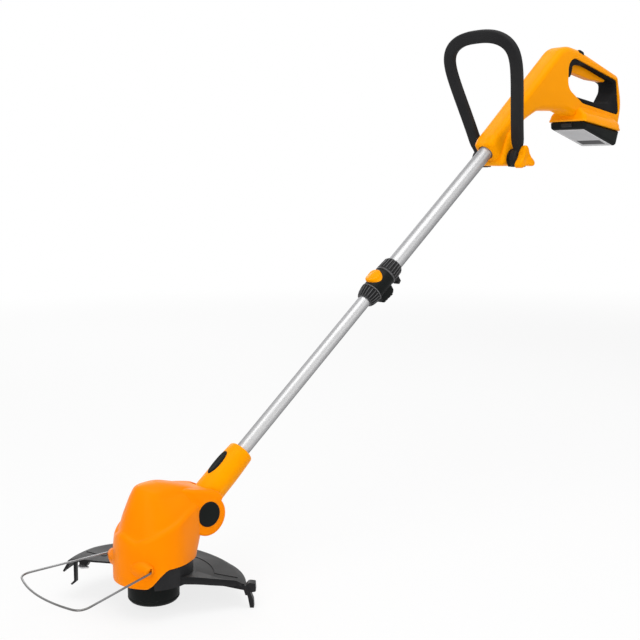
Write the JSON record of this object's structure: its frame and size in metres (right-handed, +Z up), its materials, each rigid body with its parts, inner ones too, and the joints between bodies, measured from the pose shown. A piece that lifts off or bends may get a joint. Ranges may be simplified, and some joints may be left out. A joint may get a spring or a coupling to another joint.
{
  "type": "cordless string trimmer",
  "caption": "Cordless string trimmer: D-grip handle with trigger and slide-in battery, loop handle, telescopic tube, tilting motor head with spool, guard and folding wire bail",
  "frame": {"origin": "middle of the rear grip bar, where the hand carries the tool", "axes": "+Z up in the carrying pose, the head towards -X, the user towards +X, the tool's left side towards -Y"},
  "size_m": [1.2626, 0.2331, 0.8533],
  "materials": {
    "orange_plastic": "smooth satin moulding",
    "black_plastic": "fine moulded grain",
    "grip_rubber": "soft matt rubber",
    "aluminium": "brushed and anodised",
    "steel": "plated",
    "copper": "lacquered winding",
    "line_nylon": "extruded nylon line",
    "label_foil": "bare printed foil"
  },
  "bodies": {
    "handle": {"handle_shell_left": "orange_plastic", "handle_shell_right": "orange_plastic", "handle_screw_1": "steel", "handle_screw_2": "steel", "handle_screw_3": "steel", "grip_overmould": "grip_rubber", "trigger_switch": "black_plastic", "terminal_block": "black_plastic", "pivot_disc_left": "black_plastic", "pivot_disc_right": "black_plastic", "clamp_bolt": "steel", "upper_tube": "aluminium", "coupling_collar": "black_plastic", "coupling_body": "black_plastic", "coupling_nut": "black_plastic", "blade_clip": "black_plastic"},
    "trigger": {"trigger": "orange_plastic"},
    "lock_off": {"lock_off_button": "black_plastic"},
    "battery": {"battery_case": "black_plastic", "battery_label": "label_foil"},
    "battery_latch": {"battery_latch": "black_plastic"},
    "loop": {"loop_handle": "grip_rubber"},
    "knob": {"star_knob": "orange_plastic"},
    "coupling_button": {"coupling_button": "orange_plastic"},
    "lower_shaft": {"lower_tube": "aluminium", "neck_shell_left": "orange_plastic", "neck_shell_right": "orange_plastic"},
    "tilt_button": {"tilt_button": "black_plastic"},
    "head": {"motor_housing_left": "orange_plastic", "motor_housing_right": "orange_plastic", "head_screw_1": "steel", "head_screw_2": "steel", "head_screw_3": "steel", "hub_pin": "steel", "hub_cap_left": "black_plastic", "hub_cap_right": "black_plastic", "motor_can": "steel", "guard": "black_plastic", "line_cutter": "steel"},
    "wire_guard": {"wire_guard": "steel"},
    "spool": {"spool_cup": "black_plastic", "line_reel": "black_plastic", "wound_line": "line_nylon", "motor_shaft": "steel", "rotor": "copper", "bump_spring": "steel"},
    "bump": {"bump_knob": "black_plastic"}
  },
  "joints": [
    {"name": "trigger_pull", "type": "hinge", "parent": "handle", "child": "trigger", "pos_m": [0.027, 0, -0.016], "axis": [0, 1, 0], "range_deg": [0, 4], "stiffness_Nm_per_rad": 2, "springref_deg": -1.72},
    {"name": "lock_off_press", "type": "slide", "parent": "handle", "child": "lock_off", "axis": [-0.2957, 0, -0.9553], "range_m": [0, 0.0022], "stiffness_N_per_m": 300, "springref_m": -0.004},
    {"name": "battery_slide", "type": "slide", "parent": "handle", "child": "battery", "axis": [0.991, 0, -0.134], "range_m": [0, 0.12]},
    {"name": "battery_latch_press", "type": "slide", "parent": "battery", "child": "battery_latch", "axis": [0.991, 0, -0.134], "range_m": [0, 0.0014], "stiffness_N_per_m": 500, "springref_m": -0.002},
    {"name": "loop_tilt", "type": "hinge", "parent": "handle", "child": "loop", "pos_m": [-0.276, 0, -0.175], "axis": [0, 1, 0], "range_deg": [-25, 30]},
    {"name": "knob_turn", "type": "hinge", "parent": "handle", "child": "knob", "pos_m": [-0.276, 0, -0.175], "axis": [0, -1, 0], "continuous": true},
    {"name": "coupling_release", "type": "slide", "parent": "handle", "child": "coupling_button", "axis": [0.6353, 0, -0.7723], "range_m": [0, 0.0012], "stiffness_N_per_m": 500, "springref_m": -0.003},
    {"name": "telescope", "type": "slide", "parent": "handle", "child": "lower_shaft", "axis": [-0.7723, 0, -0.6353], "range_m": [-0.18, 0.05]},
    {"name": "tilt_button_press", "type": "slide", "parent": "lower_shaft", "child": "tilt_button", "axis": [0.6353, 0, -0.7723], "range_m": [0, 0.0018], "stiffness_N_per_m": 500, "springref_m": -0.003},
    {"name": "head_tilt", "type": "hinge", "parent": "lower_shaft", "child": "head", "pos_m": [-0.94347, 0, -0.68111], "axis": [0, -1, 0], "range_deg": [0, 45]},
    {"name": "wire_fold", "type": "hinge", "parent": "head", "child": "wire_guard", "pos_m": [-1.05197, 0, -0.73511], "axis": [0, 1, 0], "range_deg": [0, 80]},
    {"name": "spool_spin", "type": "hinge", "parent": "head", "child": "spool", "pos_m": [-1.01497, 0, -0.80011], "axis": [0, 0, 1], "continuous": true},
    {"name": "bump_press", "type": "slide", "parent": "spool", "child": "bump", "axis": [0, 0, 1], "range_m": [0, 0.004], "stiffness_N_per_m": 400, "springref_m": -0.005, "deforming": ["bump_spring"]}
  ]
}
